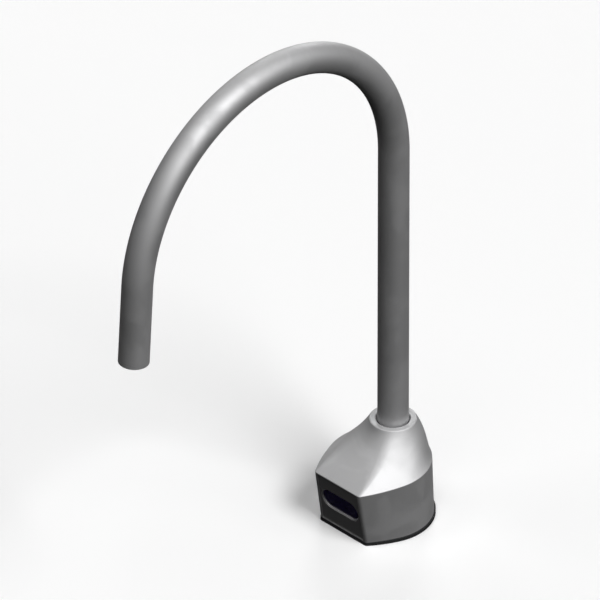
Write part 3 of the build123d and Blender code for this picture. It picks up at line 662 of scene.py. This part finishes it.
def make_woven_screen_tree():
    """Round screen of wires that pass over and under each other, in a pressed rim."""
    tree, source, sink = geometry_tree(
        "woven_screen",
        [
            ("Radius", "NodeSocketFloat", SCREEN_RADIUS),
            ("Pitch", "NodeSocketFloat", 0.00055),
            ("Wires", "NodeSocketInt", 25),
            ("Points", "NodeSocketInt", 121),
            ("Wire Sides", "NodeSocketInt", 6),
            ("Wire Radius", "NodeSocketFloat", 0.00011),
            ("Wave", "NodeSocketFloat", 0.00012),
            ("Rim Points", "NodeSocketInt", 64),
            ("Rim Sides", "NodeSocketInt", 10),
            ("Rim Radius", "NodeSocketFloat", 0.00022),
            ("Centre", "NodeSocketVector", SCREEN_CENTRE),
            ("Tilt", "NodeSocketVector", (BEND_ANGLE, 0.0, 0.0)),
            ("Finish", "NodeSocketMaterial", None),
        ],
    )
    size = source.outputs
    gaps = math_node(tree, "SUBTRACT", size["Wires"], 1.0)
    width = math_node(tree, "MULTIPLY", gaps, size["Pitch"])
    half = math_node(tree, "MULTIPLY", width, 0.5)
    start = math_node(tree, "MULTIPLY", half, -1.0)
    step = math_node(
        tree, "DIVIDE", width, math_node(tree, "SUBTRACT", size["Points"], 1.0)
    )
    wire = add_node(
        tree,
        "GeometryNodeMeshLine",
        {
            "Count": size["Points"],
            "Start Location": add_node(tree, "ShaderNodeCombineXYZ", {"X": start}).outputs[0],
            "Offset": add_node(tree, "ShaderNodeCombineXYZ", {"X": step}).outputs[0],
        },
    )
    rows = add_node(
        tree,
        "GeometryNodeMeshLine",
        {
            "Count": size["Wires"],
            "Start Location": add_node(tree, "ShaderNodeCombineXYZ", {"Y": start}).outputs[0],
            "Offset": add_node(tree, "ShaderNodeCombineXYZ", {"Y": size["Pitch"]}).outputs[0],
        },
    )
    laid = add_node(
        tree, "GeometryNodeInstanceOnPoints", {0: rows.outputs[0], "Instance": wire.outputs[0]}
    )
    flat = add_node(tree, "GeometryNodeRealizeInstances", {0: laid.outputs[0]})
    place = add_node(tree, "GeometryNodeInputPosition").outputs[0]
    parts = add_node(tree, "ShaderNodeSeparateXYZ", {0: place})
    steps = math_node(
        tree,
        "DIVIDE",
        math_node(tree, "ADD", parts.outputs[0], parts.outputs[1]),
        size["Pitch"],
    )
    over = math_node(tree, "COSINE", math_node(tree, "MULTIPLY", steps, math.pi))
    lift = add_node(
        tree, "ShaderNodeCombineXYZ", {"Z": math_node(tree, "MULTIPLY", over, size["Wave"])}
    )
    wavy = add_node(
        tree, "GeometryNodeSetPosition", {"Geometry": flat.outputs[0], "Offset": lift.outputs[0]}
    )
    away = vector_length(tree, place)
    edge = math_node(tree, "SUBTRACT", size["Radius"], size["Rim Radius"])
    cut = add_node(
        tree,
        "GeometryNodeDeleteGeometry",
        {"Geometry": wavy.outputs[0], "Selection": math_node(tree, "GREATER_THAN", away, edge)},
    )
    lines = add_node(tree, "GeometryNodeMeshToCurve", {0: cut.outputs[0]}).outputs[0]
    wires = swept(tree, lines, size["Wire Radius"], size["Wire Sides"])
    # The other set of wires is the first one turned over and across, so it passes under
    crossing = add_node(
        tree, "GeometryNodeTransform", {0: wires, "Rotation": (math.pi, 0.0, math.pi / 2)}
    )
    rim_path = add_node(
        tree, "GeometryNodeCurvePrimitiveCircle", {"Resolution": size["Rim Points"], "Radius": edge}
    )
    rim = swept(tree, rim_path.outputs[0], size["Rim Radius"], size["Rim Sides"])
    joined = add_node(tree, "GeometryNodeJoinGeometry")
    for piece in (wires, crossing.outputs[0], rim):
        tree.links.new(piece, joined.inputs[0])
    seated = add_node(
        tree,
        "GeometryNodeTransform",
        {0: joined.outputs[0], "Translation": size["Centre"], "Rotation": size["Tilt"]},
    )
    smooth = add_node(tree, "GeometryNodeSetShadeSmooth", {0: seated.outputs[0]})
    finished = add_node(
        tree, "GeometryNodeSetMaterial", {0: smooth.outputs[0], "Material": size["Finish"]}
    )
    tree.links.new(finished.outputs[0], sink.inputs[0])
    return tree


woven_screen = grown_mesh("woven_screen", make_woven_screen_tree(), STAINLESS)
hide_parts("outlet_screen")
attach(woven_screen, "spout")


# Floor, lamps, world and camera
FLOOR_RADIUS = 40.0
FLOOR_SIDES = 96
FLOOR_COLOUR = (0.98, 0.98, 0.98)
FLOOR_ROUGHNESS = 0.9


def disc(name, radius, sides, material):
    """Flat round piece of the studio, at deck height."""
    mesh = bpy.data.meshes.new(name)
    turns = [math.tau * i / sides for i in range(sides)]
    rim = [(radius * math.cos(turn), radius * math.sin(turn), 0.0) for turn in turns]
    mesh.from_pydata(rim, [], [range(sides)])
    mesh.materials.append(material)
    piece = bpy.data.objects.new(name, mesh)
    bpy.context.scene.collection.objects.link(piece)
    return piece


PALE_FLOOR = Finish("pale_floor", FLOOR_COLOUR, FLOOR_ROUGHNESS).material
floor = disc("floor", FLOOR_RADIUS, FLOOR_SIDES, PALE_FLOOR)
floor.visible_glossy = False

LAMP_SPREAD = math.radians(24.0)


def far_lamp(name, azimuth, elevation, strength):
    """Wide far lamp that lights everything evenly; azimuth runs from the front towards +X."""
    turn = math.radians(azimuth)
    climb = math.radians(elevation)
    away = Vector(
        (
            math.sin(turn) * math.cos(climb),
            -math.cos(turn) * math.cos(climb),
            math.sin(climb),
        )
    )
    data = bpy.data.lights.new(name, "SUN")
    data.energy = strength
    data.angle = LAMP_SPREAD
    lamp = bpy.data.objects.new(name, data)
    lamp.location = away
    lamp.rotation_euler = away.to_track_quat("Z", "Y").to_euler()
    bpy.context.scene.collection.objects.link(lamp)


far_lamp("key_lamp", 90.0, 54.0, 1.76)
far_lamp("key_lower_lamp", 80.0, 38.0, 0.6)
far_lamp("right_rear_lamp", 120.0, 38.0, 0.23)
far_lamp("top_lamp", 20.0, 70.0, 0.43)
far_lamp("top_left_lamp", -48.0, 62.0, 0.43)
far_lamp("left_lamp", -100.0, 20.0, 0.15)
far_lamp("rear_left_lamp", -140.0, 20.0, 0.8)
far_lamp("rear_rim_lamp", 160.0, 4.0, 0.07)

# The world lights the faucet a little from all sides and shows white behind the floor's edge
AMBIENT_STRENGTH = 0.01
BACKDROP_STRENGTH = 0.97
world = bpy.data.worlds.new("studio")
world.use_nodes = True
bpy.context.scene.world = world
seen = add_node(world.node_tree, "ShaderNodeLightPath").outputs["Is Camera Ray"]
surround = world.node_tree.nodes["Background"]
surround.inputs["Color"].default_value = (1.0, 1.0, 1.0, 1.0)
strength = remap(world.node_tree, seen, 0.0, 1.0, AMBIENT_STRENGTH, BACKDROP_STRENGTH)
world.node_tree.links.new(strength, surround.inputs["Strength"])

# The photograph is an isometric view, so a very long lens looks down the diagonal of a cube
VIEW_DIRECTION = Vector((1.0, -1.0, 1.0)).normalized()
AIM = Vector((-0.00104, -0.07822, 0.18913))
VIEW_DISTANCE = 14.937
camera_data = bpy.data.cameras.new("camera")
camera_data.lens = 1500.0
camera_data.sensor_width = 36.0
camera_data.clip_end = 100.0
camera = bpy.data.objects.new("camera", camera_data)
camera.location = AIM + VIEW_DIRECTION * VIEW_DISTANCE
camera.rotation_euler = VIEW_DIRECTION.to_track_quat("Z", "Y").to_euler()
bpy.context.scene.collection.objects.link(camera)
bpy.context.scene.camera = camera
bpy.context.scene.view_settings.view_transform = "Standard"

bpy.context.view_layer.update()
